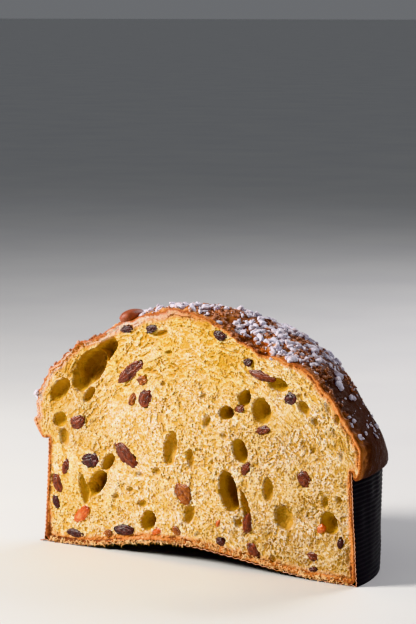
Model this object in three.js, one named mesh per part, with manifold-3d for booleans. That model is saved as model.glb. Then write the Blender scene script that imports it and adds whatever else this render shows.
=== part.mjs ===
// Half of a sweet domed loaf with raisins, candied peel, an almond and pearl sugar,
// still in its low round paper baking case. Millimetres, +Z up.
//
// The whole loaf is round about the Z axis and is cut through the middle. The cut face is
// an upright plane that looks along -Y, the half body lies behind it, and the case stands
// on z = 0. Angles around the loaf run from 0 at the right end of the cut (+X) through the
// back (+Y) to PI at the left end (-X).

import * as THREE from 'three';
import { mergeVertices } from 'three/addons/utils/BufferGeometryUtils.js';
import Module from 'manifold-3d';

const wasm = await Module();
wasm.setup();

// Paper case
const CASE_RADIUS = { back: { foot: 101.3, brim: 102.9 }, cut: { foot: 102.5, brim: 99 } };
const CASE_HEIGHT = 60;
const CASE_WALL = 1.2;
const CUT_END_SHARPNESS = 14;
const ARCH_HEIGHT = 8.6;
const ARCH_RADIUS = 88;
const CORNER = 2;

// Loaf
const GAP = 0.4;
const PEAK_HEIGHT = 139.5;
const PEAK_SHIFT = -14;
const RIM = {
  left: { radius: 109, height: 70, crown: 1.15, drop: 0.4, endAngle: 12, hang: 0.9, roll: 9 },
  back: { radius: 103.5, height: 62, crown: 2.75, drop: 0.81, endAngle: 14, hang: 2.5, roll: 5 },
  right: { radius: 110, height: 62.5, crown: 2.2, drop: 0.8, endAngle: 18, hang: 4, roll: 4.5 },
};
const LEFT_SHARPNESS = 4;
const RIGHT_SHARPNESS = 8;
const LIP_THICKNESS = 1.8;
const TEAR = { depth: 8.5, from: -16, to: 76, rampIn: 62, rampOut: 34, reach: 26 };
const RELIEF = { height: 0.9, length: 17 };

// Embedded and scattered pieces
const PROUD = 1.1;
const SUGAR = { count: 92, smallest: 1.3, largest: 2.2, sunk: 0.35, seed: 7 };
const SUGAR_EDGE = 4;
const ALMOND = { x: -44, y: 7, length: 18, width: 11, thickness: 7.6, turn: 75, sunk: 2 };

// Mesh fineness
const TURN_STEPS = 40;
const DOME_STEPS = 17;
const ROLL_STEPS = 5;
const ARCH_STEPS = 5;

// Air holes that open on the cut face: centre x, z, half length, half width, tilt in
// degrees from +X towards +Z, and depth behind the face.
const HOLES = [
  { x: -68, z: 106, a: 19, b: 7, tilt: 42, depth: 13 },
  { x: -91, z: 88, a: 9, b: 5, tilt: 45, depth: 9 },
  { x: -71, z: 87, a: 6, b: 2.6, tilt: 52, depth: 5 },
  { x: -91, z: 71, a: 5.4, b: 4.4, tilt: 20, depth: 7 },
  { x: -88, z: 61, a: 6.6, b: 3.4, tilt: 101, depth: 4 },
  { x: 53, z: 103, a: 6.6, b: 3.6, tilt: 168, depth: 7 },
  { x: 32, z: 94, a: 5, b: 4, tilt: 56, depth: 9 },
  { x: 21, z: 85, a: 5, b: 4, tilt: 13, depth: 8 },
  { x: 43, z: 88, a: 7.5, b: 6, tilt: 118, depth: 9 },
  { x: 29, z: 65, a: 7, b: 4.5, tilt: 115, depth: 8 },
  { x: -16, z: 62, a: 10, b: 4.5, tilt: 78, depth: 6 },
  { x: -3, z: 57, a: 6.6, b: 2.4, tilt: 95, depth: 4 },
  { x: -66, z: 37, a: 9.6, b: 5, tilt: 50, depth: 12 },
  { x: -58, z: 50, a: 6.3, b: 3.4, tilt: 53, depth: 8 },
  { x: -75, z: 33, a: 9.6, b: 2.8, tilt: 102, depth: 6 },
  { x: -31, z: 20, a: 6.4, b: 4.7, tilt: 58, depth: 9 },
  { x: -4, z: 26, a: 5.8, b: 3.2, tilt: 74, depth: 5 },
  { x: 23, z: 41, a: 10.8, b: 7.2, tilt: 115, depth: 14 },
  { x: 47, z: 46, a: 6.5, b: 3.6, tilt: 94, depth: 6 },
  { x: 57, z: 32, a: 7.5, b: 5.6, tilt: 132, depth: 6 },
  { x: 85, z: 32, a: 6.3, b: 5, tilt: 114, depth: 6 },
  { x: 8, z: 79, a: 4.6, b: 2.6, tilt: 75, depth: 4 },
  { x: 69, z: 92, a: 4.6, b: 3, tilt: 136, depth: 5 },
];

// Fruit that shows on the cut face: centre x, z, half length, half width and tilt as above.
const RAISINS = [
  { x: -43, z: 102, a: 9.8, b: 3.4, tilt: 37 },
  { x: -33, z: 88.5, a: 5.4, b: 3.6, tilt: 66 },
  { x: -34.5, z: 98, a: 3.8, b: 2.4, tilt: 19 },
  { x: -41, z: 87, a: 4.4, b: 2, tilt: 59 },
  { x: -79, z: 71, a: 4.7, b: 4.1, tilt: 32 },
  { x: 43, z: 107, a: 7.3, b: 2.8, tilt: 171 },
  { x: 60.5, z: 96, a: 4.3, b: 2.9, tilt: 29 },
  { x: 29.5, z: 88, a: 3.4, b: 2, tilt: 21 },
  { x: 44, z: 78, a: 4.5, b: 2.4, tilt: 22 },
  { x: 33, z: 56, a: 4, b: 2.3, tilt: 48 },
  { x: -46, z: 55, a: 8.6, b: 4.3, tilt: 135 },
  { x: -70, z: 50, a: 6, b: 3.9, tilt: 20 },
  { x: -87, z: 45, a: 4.5, b: 2.2, tilt: 68 },
  { x: -93, z: 35, a: 5.6, b: 3, tilt: 113 },
  { x: -94, z: 24, a: 3.7, b: 2.3, tilt: 106 },
  { x: -81, z: 7, a: 5.8, b: 2.3, tilt: 177 },
  { x: -48, z: 12.5, a: 6.3, b: 3, tilt: 2 },
  { x: -58, z: 9.5, a: 2.8, b: 1.8, tilt: 13 },
  { x: -8, z: 37.5, a: 6.1, b: 4.7, tilt: 126 },
  { x: -12, z: 16.5, a: 3.2, b: 2.3, tilt: 149 },
  { x: 34, z: 26, a: 5.3, b: 2.9, tilt: 81 },
  { x: 70, z: 54, a: 4.5, b: 3.7, tilt: 134 },
  { x: 92, z: 22, a: 3, b: 1.9, tilt: 86 },
  { x: 38, z: 11.5, a: 4.6, b: 3.2, tilt: 123 },
  { x: 75, z: 13, a: 3.6, b: 2.4, tilt: 1 },
  { x: 17, z: 14, a: 3.4, b: 2.3, tilt: 171 },
  { x: 76, z: 6, a: 3.1, b: 1.3, tilt: 9 },
  { x: -28, z: 127, a: 4.1, b: 2.2, tilt: 16 },
  { x: 16, z: 126.6, a: 4.4, b: 2.4, tilt: 171 },
  { x: 34, z: 113.5, a: 2.9, b: 2.1, tilt: 10 },
  { x: -44.5, z: 125.6, a: 4.3, b: 1.8, tilt: 12 },
];
const PEELS = [
  { x: -76, z: 18.5, a: 6, b: 3.2, tilt: 45 },
  { x: -24.5, z: 14.8, a: 3.6, b: 1.6, tilt: 25 },
  { x: 15.5, z: 24, a: 2.4, b: 1.3, tilt: 68 },
  { x: 80, z: 28.5, a: 2.9, b: 2.2, tilt: 66 },
];

const FINE_HOLE = 9;
const LARGE_FRUIT = 4.2;
const FRUIT_WRINKLE = 0.1;
const PEEL_WRINKLE = 0.06;
const HOLE_WRINKLE = 0.05;

// Repeatable random numbers between 0 and 1.
function randomFrom(seed) {
  let state = seed >>> 0;
  return () => {
    state = (state + 0x6d2b79f5) >>> 0;
    let mixed = Math.imul(state ^ (state >>> 15), state | 1);
    mixed ^= mixed + Math.imul(mixed ^ (mixed >>> 7), mixed | 61);
    return ((mixed ^ (mixed >>> 14)) >>> 0) / 4294967296;
  };
}

function radians(degrees) {
  return THREE.MathUtils.degToRad(degrees);
}

// Smooth irregular value between about -1 and 1 at a point of the plane.
function unevenness(x, y) {
  const broad = Math.sin(x * 1.1 + 2.3 * Math.sin(y * 0.7)) * Math.cos(y * 1.3 + Math.sin(x * 0.9));
  const fine = Math.sin(x * 2.9 - y * 1.7 + 0.6) * Math.cos(y * 2.6 + x * 1.3);
  return 0.6 * broad + 0.4 * fine;
}

// Outer radius of the case: its wall leans out a little, but leans in at the two cut ends.
function caseRadius(theta, z) {
  const { lerp } = THREE.MathUtils;
  const share = z / CASE_HEIGHT;
  const { back, cut } = CASE_RADIUS;
  const nearCut = Math.abs(Math.cos(theta)) ** CUT_END_SHARPNESS;
  return lerp(lerp(back.foot, back.brim, share), lerp(cut.foot, cut.brim, share), nearCut);
}

// Height to which the base has drawn up off the table; 0 outside ARCH_RADIUS.
function archHeight(r) {
  const share = Math.min(1, r / ARCH_RADIUS);
  return ARCH_HEIGHT * Math.cos(share * Math.PI / 2) ** 2;
}

// A point at angle theta and radius r. Peak and arch lie PEAK_SHIFT to one side of the axis,
// and the shift fades out before the wall.
function place(theta, r, z) {
  const slide = PEAK_SHIFT * Math.max(0, 1 - (r / ARCH_RADIUS) ** 2) ** 2;
  const side = theta === Math.PI ? 0 : Math.sin(theta);
  return new THREE.Vector3(r * Math.cos(theta) + slide, r * side, z);
}

// How far the torn crust has sunk beside the right half of the cut.
function tearDepth(x, y) {
  const { smoothstep } = THREE.MathUtils;
  const along = smoothstep(x, TEAR.from, TEAR.from + TEAR.rampIn)
    * (1 - smoothstep(x, TEAR.to - TEAR.rampOut, TEAR.to));
  return TEAR.depth * along * (1 - smoothstep(y, 0, TEAR.reach));
}

// Rim values at angle theta, blended from those of the two cut ends and of the back.
function rimAt(theta) {
  const atLeft = Math.max(0, -Math.cos(theta)) ** LEFT_SHARPNESS;
  const atRight = Math.max(0, Math.cos(theta)) ** RIGHT_SHARPNESS;
  const rim = {};
  for (const key of Object.keys(RIM.back)) {
    rim[key] = atLeft * RIM.left[key] + atRight * RIM.right[key]
      + (1 - atLeft - atRight) * RIM.back[key];
  }
  return rim;
}

// A point of the dome, from the rim at angle 0 to the peak at a right angle.
function domePoint(rim, angle) {
  const outward = Math.cos(angle);
  const height = Math.max(0, 1 - outward ** rim.crown) ** rim.drop;
  return new THREE.Vector2(
    rim.radius * outward,
    rim.height + (PEAK_HEIGHT - rim.height) * height,
  );
}

// Section of the loaf at angle theta, from the middle of the base to the peak.
function loafSection(theta) {
  const floor = CASE_WALL + GAP;
  const wallRadius = (z) => caseRadius(theta, z) - CASE_WALL - GAP;
  const section = [];
  for (let i = 0; i <= ARCH_STEPS; i += 1) {
    const r = ARCH_RADIUS * i / ARCH_STEPS;
    section.push(place(theta, r, archHeight(r) + floor));
  }
  section.push(place(theta, wallRadius(0) - CORNER, floor));
  section.push(place(theta, wallRadius(CORNER), floor + CORNER));

  const rim = rimAt(theta);
  const seam = CASE_HEIGHT + GAP;
  const tipHeight = seam - rim.hang;
  const outside = caseRadius(theta, CASE_HEIGHT) + GAP;
  section.push(place(theta, wallRadius(CASE_HEIGHT), seam));
  section.push(place(theta, outside, seam));
  section.push(place(theta, outside + 0.2 * LIP_THICKNESS, tipHeight + 0.2 * rim.hang));

  const endAngle = radians(rim.endAngle);
  const domeEnd = domePoint(rim, endAngle);
  const downward = domeEnd.clone().sub(domePoint(rim, endAngle + 0.02)).normalize();
  const tip = new THREE.Vector2(outside + LIP_THICKNESS, tipHeight);
  const roll = new THREE.CubicBezierCurve(
    tip,
    tip.clone().add(new THREE.Vector2(rim.roll * 0.6, 0)),
    domeEnd.clone().addScaledVector(downward, rim.roll),
    domeEnd,
  );
  for (const point of roll.getPoints(ROLL_STEPS)) {
    section.push(place(theta, point.x, point.y));
  }
  for (let i = 1; i <= DOME_STEPS; i += 1) {
    const angle = THREE.MathUtils.lerp(endAngle, Math.PI / 2, i / DOME_STEPS);
    const point = domePoint(rim, angle);
    const onCrust = place(theta, i === DOME_STEPS ? 0 : point.x, point.y);
    onCrust.z -= tearDepth(onCrust.x, onCrust.y);
    onCrust.z += RELIEF.height * unevenness(onCrust.x / RELIEF.length, onCrust.y / RELIEF.length);
    section.push(onCrust);
  }
  return section;
}

// Section of the paper case at angle theta: underside, outer wall, brim, inner wall, floor.
function caseSection(theta) {
  const section = [];
  for (let i = 0; i <= ARCH_STEPS; i += 1) {
    const r = ARCH_RADIUS * i / ARCH_STEPS;
    section.push(place(theta, r, archHeight(r)));
  }
  section.push(place(theta, caseRadius(theta, 0) - CASE_WALL, 0));
  section.push(place(theta, caseRadius(theta, CASE_WALL), CASE_WALL));
  section.push(place(theta, caseRadius(theta, CASE_HEIGHT), CASE_HEIGHT));
  section.push(place(theta, caseRadius(theta, CASE_HEIGHT) - CASE_WALL, CASE_HEIGHT));
  section.push(place(theta, caseRadius(theta, CORNER) - CASE_WALL, CASE_WALL + CORNER));
  section.push(place(theta, caseRadius(theta, 0) - CASE_WALL - CORNER, CASE_WALL));
  for (let i = ARCH_STEPS; i >= 0; i -= 1) {
    const r = ARCH_RADIUS * i / ARCH_STEPS;
    section.push(place(theta, r, archHeight(r) + CASE_WALL));
  }
  return section;
}

// The faces between two neighbouring sections, one triangle at either pole. Every four-sided
// patch is split along its shorter diagonal, so that two nested skins are split alike.
function stripFaces(points, here, rows, atStart, atEnd) {
  const next = here + rows;
  if (atStart) {
    return [here, next + 1, here + 1];
  }
  if (atEnd) {
    return [here, next, next + 1];
  }
  const rising = points[here].distanceTo(points[next + 1]);
  const falling = points[next].distanceTo(points[here + 1]);
  return rising < falling
    ? [here, next, next + 1, here, next + 1, here + 1]
    : [here, next, here + 1, next, next + 1, here + 1];
}

// Turns a section through half a circle and closes it with the flat cut face. The first and
// last points of every section are the same two points.
function halfTurn(sectionAt) {
  const columns = [];
  for (let i = 0; i <= TURN_STEPS; i += 1) {
    columns.push(sectionAt(i === TURN_STEPS ? Math.PI : Math.PI * i / TURN_STEPS));
  }
  const rows = columns[0].length;
  const points = columns.flat();
  const index = [];
  for (let i = 0; i < TURN_STEPS; i += 1) {
    for (let j = 0; j < rows - 1; j += 1) {
      index.push(...stripFaces(points, i * rows + j, rows, j === 0, j === rows - 2));
    }
  }
  const left = TURN_STEPS * rows;
  const rim = [];
  for (let j = 0; j < rows; j += 1) {
    rim.push(j);
  }
  for (let j = rows - 2; j > 0; j -= 1) {
    rim.push(left + j);
  }
  const outline = rim.map((id) => new THREE.Vector2(points[id].x, points[id].z));
  for (const face of THREE.ShapeUtils.triangulateShape(outline, [])) {
    index.push(...face.map((corner) => rim[corner]));
  }
  const geometry = new THREE.BufferGeometry().setFromPoints(points);
  geometry.setIndex(index);
  return geometry;
}

// A rounded lump with the given half sizes. Its surface swells and sinks by the share given.
function lump(geometry, halfSizes, wrinkle, seed) {
  const position = geometry.getAttribute('position');
  const point = new THREE.Vector3();
  for (let i = 0; i < position.count; i += 1) {
    point.fromBufferAttribute(position, i);
    const swell = 1 + wrinkle * unevenness(2.1 * point.x + seed, 2.1 * point.z + 1.7 * point.y);
    point.multiplyScalar(swell).multiply(halfSizes);
    position.setXYZ(i, point.x, point.y, point.z);
  }
  return geometry;
}

// A lump for one hole or fruit of the cut face, lying in its own frame. Fruit is flat in
// front, where the knife passed.
function holeShape(hole, seed) {
  const geometry = new THREE.IcosahedronGeometry(1, hole.a > FINE_HOLE ? 2 : 1);
  return lump(geometry, new THREE.Vector3(hole.a, hole.depth, hole.b), HOLE_WRINKLE, seed);
}

function fruitShape(fruit, clearance, wrinkle, seed) {
  const [around, upward] = fruit.a > LARGE_FRUIT ? [8, 5] : [7, 4];
  const geometry = new THREE.SphereGeometry(1, around, upward);
  const depth = Math.min(fruit.a, 1.15 * fruit.b) + clearance;
  const halfSizes = new THREE.Vector3(fruit.a + clearance, depth, fruit.b + clearance);
  lump(geometry, halfSizes, wrinkle, seed);
  const position = geometry.getAttribute('position');
  for (let i = 0; i < position.count; i += 1) {
    if (position.getY(i) < 0) {
      position.setY(i, position.getY(i) * (PROUD + clearance) / depth);
    }
  }
  return geometry;
}

function onCut(shape, item) {
  shape.rotateY(-radians(item.tilt));
  return shape.translate(item.x, 0, item.z);
}

function toSolid(geometry) {
  const bare = geometry.clone();
  bare.deleteAttribute('normal');
  bare.deleteAttribute('uv');
  const merged = mergeVertices(bare);
  return new wasm.Manifold(new wasm.Mesh({
    numProp: 3,
    vertProperties: new Float32Array(merged.getAttribute('position').array),
    triVerts: new Uint32Array(merged.getIndex().array),
  }));
}

function toGeometry(solid) {
  const mesh = solid.getMesh();
  const geometry = new THREE.BufferGeometry();
  geometry.setAttribute('position', new THREE.BufferAttribute(mesh.vertProperties, 3));
  geometry.setIndex(new THREE.BufferAttribute(mesh.triVerts, 1));
  geometry.computeVertexNormals();
  return geometry;
}

// The largest closed body of a solid: loose scraps go, and sealed hollows are filled.
function largestBody(solid) {
  return solid.decompose().reduce((best, body) => (body.volume() > best.volume() ? body : best));
}

// Height of the crust above the point x, y, found by stepping out from the peak.
function crustHeight(x, y) {
  const ray = new THREE.Raycaster(
    new THREE.Vector3(x, y, 2 * PEAK_HEIGHT),
    new THREE.Vector3(0, 0, -1),
  );
  const hit = ray.intersectObject(crustSurface)[0];
  return { height: hit.point.z, normal: hit.face.normal.clone() };
}

function almondShape(clearance) {
  const geometry = new THREE.SphereGeometry(1, 12, 8);
  const position = geometry.getAttribute('position');
  for (let i = 0; i < position.count; i += 1) {
    const along = position.getX(i);
    const taper = 1 - 0.28 * along;
    position.setXYZ(
      i,
      along * (ALMOND.length / 2 + clearance),
      position.getY(i) * taper * (ALMOND.width / 2 + clearance),
      position.getZ(i) * taper * (ALMOND.thickness / 2 + clearance),
    );
  }
  return geometry;
}

// Turns and moves a shape so that its +Z follows the crust at x, y.
function onCrust(x, y, lift, turn) {
  const { height, normal } = crustHeight(x, y);
  const upright = new THREE.Quaternion().setFromUnitVectors(new THREE.Vector3(0, 0, 1), normal);
  const spin = new THREE.Quaternion().setFromAxisAngle(new THREE.Vector3(0, 0, 1), radians(turn));
  const place3 = new THREE.Vector3(x, y, height).addScaledVector(normal, lift);
  return new THREE.Matrix4().compose(place3, upright.multiply(spin), new THREE.Vector3(1, 1, 1));
}

// Sugar lies where a sunflower spiral over the whole round puts it, each grain nudged a little.
function sugarGrains() {
  const random = randomFrom(SUGAR.seed);
  const goldenTurn = Math.PI * (3 - Math.sqrt(5));
  const reach = CASE_RADIUS.back.brim - 3;
  const grains = [];
  for (let i = 0; i < 2 * SUGAR.count; i += 1) {
    const r = reach * Math.sqrt((i + 0.5) / (2 * SUGAR.count));
    const theta = i * goldenTurn;
    const x = r * Math.cos(theta) + 3 * (random() - 0.5);
    const y = r * Math.sin(theta) + 3 * (random() - 0.5);
    const size = THREE.MathUtils.lerp(SUGAR.smallest, SUGAR.largest, random());
    const turn = 360 * random();
    const fromAlmond = Math.hypot(x - ALMOND.x, y - ALMOND.y);
    if (y > SUGAR_EDGE && fromAlmond > ALMOND.length / 2 + SUGAR.largest + 1) {
      const shape = new THREE.IcosahedronGeometry(1, 0);
      lump(shape, new THREE.Vector3(size, 0.85 * size, 0.8 * size), 0.25, i);
      grains.push(shape.applyMatrix4(onCrust(x, y, size * (0.8 - 2 * SUGAR.sunk), turn)));
    }
  }
  return grains;
}

const crust = halfTurn(loafSection);
crust.computeVertexNormals();
const crustSurface = new THREE.Mesh(crust, new THREE.MeshBasicMaterial());

const fruits = [
  ...RAISINS.map((item) => ({ ...item, kind: 'raisin', wrinkle: FRUIT_WRINKLE })),
  ...PEELS.map((item) => ({ ...item, kind: 'peel', wrinkle: PEEL_WRINKLE })),
];
const almondPlace = onCrust(ALMOND.x, ALMOND.y, ALMOND.thickness / 2 - ALMOND.sunk, ALMOND.turn);

function loafGeometry() {
  let solid = toSolid(crust);
  for (const grain of sugarGrains()) {
    solid = solid.add(toSolid(grain));
  }
  HOLES.forEach((hole, i) => {
    solid = solid.subtract(toSolid(onCut(holeShape(hole, i), hole)));
  });
  fruits.forEach((fruit, i) => {
    solid = solid.subtract(toSolid(onCut(fruitShape(fruit, GAP, fruit.wrinkle, i), fruit)));
  });
  solid = solid.subtract(toSolid(almondShape(GAP).applyMatrix4(almondPlace)));
  return toGeometry(largestBody(solid));
}

const bread = new THREE.MeshStandardMaterial({ color: 0xe2c469, roughness: 0.85, metalness: 0 });
const paper = new THREE.MeshStandardMaterial({ color: 0x1d1720, roughness: 0.7, metalness: 0 });
const raisinSkin = new THREE.MeshStandardMaterial({ color: 0x4a1c14, roughness: 0.4, metalness: 0 });
const candiedPeel = new THREE.MeshStandardMaterial({ color: 0xc4661c, roughness: 0.3, metalness: 0 });
const almondSkin = new THREE.MeshStandardMaterial({ color: 0x8a4a2a, roughness: 0.7, metalness: 0 });

function named(name, geometry, material) {
  const mesh = new THREE.Mesh(geometry, material.clone());
  mesh.name = name;
  return mesh;
}

const halfLoaf = new THREE.Group();
halfLoaf.add(named('loaf', loafGeometry(), bread));
halfLoaf.add(named('paper_case', halfTurn(caseSection), paper));

const counts = { raisin: 0, peel: 0 };
fruits.forEach((fruit, i) => {
  counts[fruit.kind] += 1;
  const name = `${fruit.kind}_${String(counts[fruit.kind]).padStart(2, '0')}`;
  const material = fruit.kind === 'raisin' ? raisinSkin : candiedPeel;
  const mesh = named(name, fruitShape(fruit, 0, fruit.wrinkle, i), material);
  mesh.position.set(fruit.x, 0, fruit.z);
  mesh.rotation.y = -radians(fruit.tilt);
  halfLoaf.add(mesh);
});

const almond = named('almond', almondShape(0), almondSkin);
almond.applyMatrix4(almondPlace);
halfLoaf.add(almond);

// The origin is the middle of the footprint, on the table.
const extent = new THREE.Box3().setFromObject(halfLoaf);
const middle = extent.getCenter(new THREE.Vector3());
halfLoaf.position.set(-middle.x, -middle.y, -extent.min.z);

export default halfLoaf;
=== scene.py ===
"""Looks of half a domed sweet loaf with raisins, candied peel, an almond and pearl sugar,
standing in its low round baking case. Shapes are worked out in millimetres in the loaf's own
frame (axis of the full round at x = 0, cut face at y = 0, body towards +Y, table at z = 0)
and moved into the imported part's frame, in metres, when a mesh is made."""

import itertools
import math

import bmesh
import bpy
import numpy as np
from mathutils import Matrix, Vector
from mathutils.geometry import delaunay_2d_cdt
from mathutils.kdtree import KDTree


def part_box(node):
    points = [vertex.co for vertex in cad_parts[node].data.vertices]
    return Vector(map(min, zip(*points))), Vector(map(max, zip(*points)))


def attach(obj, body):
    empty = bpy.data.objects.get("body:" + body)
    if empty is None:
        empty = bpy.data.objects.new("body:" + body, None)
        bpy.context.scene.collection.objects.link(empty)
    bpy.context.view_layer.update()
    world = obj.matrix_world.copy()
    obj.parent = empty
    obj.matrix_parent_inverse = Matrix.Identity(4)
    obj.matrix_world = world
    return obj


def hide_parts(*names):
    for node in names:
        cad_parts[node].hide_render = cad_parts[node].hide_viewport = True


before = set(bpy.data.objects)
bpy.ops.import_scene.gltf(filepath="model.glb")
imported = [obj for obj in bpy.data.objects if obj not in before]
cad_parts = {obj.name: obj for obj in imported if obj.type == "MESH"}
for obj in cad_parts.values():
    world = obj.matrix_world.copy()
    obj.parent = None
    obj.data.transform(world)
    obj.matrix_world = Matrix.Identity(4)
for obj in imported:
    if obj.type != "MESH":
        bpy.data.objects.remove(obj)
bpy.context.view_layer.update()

MM = 0.001
case_low, case_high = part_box("paper_case")
AXIS_X = (case_low.x + case_high.x) / 2
CUT_Y = case_low.y

# Paper case and loaf, the same driving sizes as the solids
CASE_BACK = {"foot": 101.3, "brim": 102.9}
CASE_CUT = {"foot": 102.5, "brim": 99.0}
CASE_HEIGHT = case_high.z / MM
BREAD_INSET = 0.95
BREAD_FLOOR = 1.35
CUT_END_SHARPNESS = 14
ARCH_HEIGHT = 8.6
ARCH_RADIUS = 88.0
CORNER = 2.0
GAP = 0.4
PEAK_HEIGHT = 139.5
PEAK_SHIFT = -14.0
RIM_LEFT = {"radius": 109, "height": 70, "crown": 1.15, "drop": 0.4, "end": 12, "hang": 0.9, "roll": 9}
RIM_BACK = {"radius": 103.5, "height": 62, "crown": 2.75, "drop": 0.81, "end": 14, "hang": 2.5, "roll": 5}
RIM_RIGHT = {"radius": 110, "height": 62.5, "crown": 2.2, "drop": 0.8, "end": 18, "hang": 4, "roll": 4.5}
LEFT_SHARPNESS = 4
RIGHT_SHARPNESS = 8
LIP_THICKNESS = 1.8
TEAR = {"depth": 8.5, "start": -16, "stop": 76, "ramp_in": 62, "ramp_out": 34, "reach": 26}

# Mesh fineness
TURN_STEPS = 230
CRUMB_STEP = 0.37
FIELD_STEP = 0.25
LATTICE_HALF_WIDTH = 112
LATTICE_TOP = 146
LATTICE_ROW = 0.866
BORDER_ROOM = 0.45
SEED = 11

# The curve that patterns of crust and edge follow: its centre's height and its radius
DOME_CENTRE = 45
DOME_ARC = 80
CRUMB_CENTRE = (0.0, 36.0)

# Hollows of the cut face: x, z, half length, half width, tilt, depth, and how smooth and dark its lining
# is, from 0 for open crumb to 1 for a sealed film; the dark of a filmed lining is painted shade where the
# hollow is deep.
HOLLOWS = [
    (-70, 102.5, 14.5, 8.4, 42, 13, 0.85),
    (-61.5, 111, 13, 5.6, 42, 12, 0.85),
    (-76, 95, 7, 6, 60, 9, 0.8),
    (-91, 88, 9.1, 4.9, 45, 8, 0.7),
    (-71, 87, 5.9, 2.5, 52, 4, 0.5),
    (-91, 71, 5.4, 4.5, 20, 6, 0.9),
    (-88, 61, 6.8, 3.6, 101, 3, 0.5),
    (53, 103, 6.6, 3.9, 168, 6, 0.9),
    (32, 94, 4.9, 3.9, 56, 9, 1.0),
    (20.5, 85, 4.9, 3.9, 13, 11, 1.0),
    (43, 88, 7.5, 6.0, 118, 8, 0.7),
    (29, 65, 7.0, 4.5, 115, 8, 1.0),
    (-16, 62, 10.2, 4.5, 78, 5, 0.4),
    (-3, 57, 6.6, 2.3, 95, 3, 0.4),
    (-66, 37, 9.7, 4.9, 50, 12, 1.0),
    (-58, 50, 6.3, 3.4, 53, 7, 0.8),
    (-75, 33, 9.6, 2.8, 102, 5, 0.9),
    (-31, 20, 6.4, 4.7, 58, 9, 1.0),
    (-4, 26, 5.8, 3.2, 74, 4, 0.5),
    (-35, 29, 3.1, 2.3, 15, 3, 0.8),
    (22, 42, 11.5, 6.2, 108, 15, 1.0),
    (31, 36, 9.5, 3.6, 112, 7, 0.6),
    (28, 26, 3.8, 2.6, 115, 4, 0.6),
    (47, 46, 6.5, 3.5, 94, 5, 0.6),
    (57, 32, 7.5, 5.7, 132, 5, 0.4),
    (82, 43, 3.8, 2.1, 87, 3, 0.6),
    (85, 32, 6.3, 5.0, 114, 7, 0.9),
    (91, 45, 2.7, 1.8, 136, 3, 0.7),
    (8, 79, 4.5, 2.5, 75, 3, 0.5),
    (69, 92, 4.6, 3.0, 136, 4, 0.6),
    (76, 85, 2.9, 1.8, 129, 3, 0.6),
    (19, 72, 2.3, 1.8, 154, 2.5, 0.8),
    (6, 93, 2.3, 1.6, 10, 2, 0.8),
    (-21, 97, 2.0, 1.4, 9, 2, 0.8),
    (-17, 115, 2.6, 1.2, 6, 2.5, 1.0),
    (-22, 125, 5.3, 1.6, 20, 2.5, 0.3),
    (2, 16, 2.3, 1.7, 16, 2, 0.8),
    (50, 8, 2.8, 2.2, 78, 2.5, 0.8),
    (-43, 36, 2.4, 1.9, 19, 2.5, 0.8),
    (-53, 31, 2.4, 1.7, 13, 2.5, 0.8),
    (-25, 48, 2.8, 2.4, 32, 2.5, 0.6),
    (-36, 45, 3.2, 2.4, 176, 2.5, 0.6),
    (89.4, 87.6, 3.2, 1.9, 100, 2.4, 0.8),
    (83.8, 92.4, 4.8, 1.7, 116, 2.0, 0.6),
    (87.9, 80.4, 3.8, 1.5, 118, 1.8, 0.6),
    (92.5, 68, 3.4, 1.5, 96, 1.6, 0.5),
    (74.8, 69.8, 2.3, 1.6, 60, 2.2, 0.8),
    (98, 78.5, 4.2, 1.5, 112, 1.4, 0.3),
    (102, 71, 3.0, 1.2, 106, 1.3, 0.3),
    (97, 15.5, 5.5, 1.4, 90, 1.3, 0.3),
]

# Pale strands left standing inside hollows: x, z, half length, half width, tilt and rise
STRANDS = [
    (28.5, 40, 12.5, 1.5, 104, 8),
    (31.5, 34, 9.0, 0.9, 112, 4),
    (27, 30, 4.0, 2.0, 60, 7),
    (-63, 108, 7.5, 0.9, 128, 5),
    (-80, 100, 7.0, 0.8, 95, 3),
    (-57, 36, 13, 1.5, 70, 7),
    (-62, 30, 9, 1.2, 50, 5),
    (-70, 40, 9, 1.1, 98, 4),
    (33, 62, 5, 1.0, 70, 3),
]

# Smooth pale streaks of drawn-out crumb: x, z, half length, half width and tilt
STREAKS = [
    (-55, 36, 17, 3.6, 72),
    (-83, 47, 17, 2.6, 92),
    (-94, 44, 16, 2.2, 91),
    (36, 52, 12, 2.4, 95),
    (60, 52, 15, 2.6, 96),
    (-33, 88, 14, 2.6, 50),
    (-48, 78, 12, 2.4, 48),
    (-27, 112, 15, 2.2, 22),
]


def smoothstep(value, low, high):
    share = np.clip((np.asarray(value, float) - low) / (high - low), 0, 1)
    return share * share * (3 - 2 * share)


def mix(low, high, share):
    return low + (high - low) * share


PRIMES = np.array([73856093, 19349663, 83492791], np.int64)


def lattice_random(cell, seed):
    """A repeatable random number from 0 to 1 for each whole-number lattice place."""
    hashed = (cell * PRIMES[: cell.shape[1]]).sum(1) + seed * 668265263
    hashed = (hashed ^ (hashed >> 13)) * 1274126177 & 0x7FFFFFFF
    hashed = (hashed ^ (hashed >> 15)) * 2246822519 & 0x7FFFFFFF
    return (hashed >> 7 & 0xFFFF) / 65535.0


def noise(points, cell, seed=0):
    """Smooth random values from -1 to 1, with features about one cell across."""
    scaled = np.asarray(points, float) / cell
    base = np.floor(scaled).astype(np.int64)
    part = scaled - base
    weight = part ** 3 * (part * (part * 6 - 15) + 10)
    total = np.zeros(len(scaled))
    for corner in itertools.product((0, 1), repeat=scaled.shape[1]):
        side = np.where(np.array(corner) == 1, weight, 1 - weight).prod(1)
        total += (2 * lattice_random(base + np.array(corner), seed) - 1) * side
    return total


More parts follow.
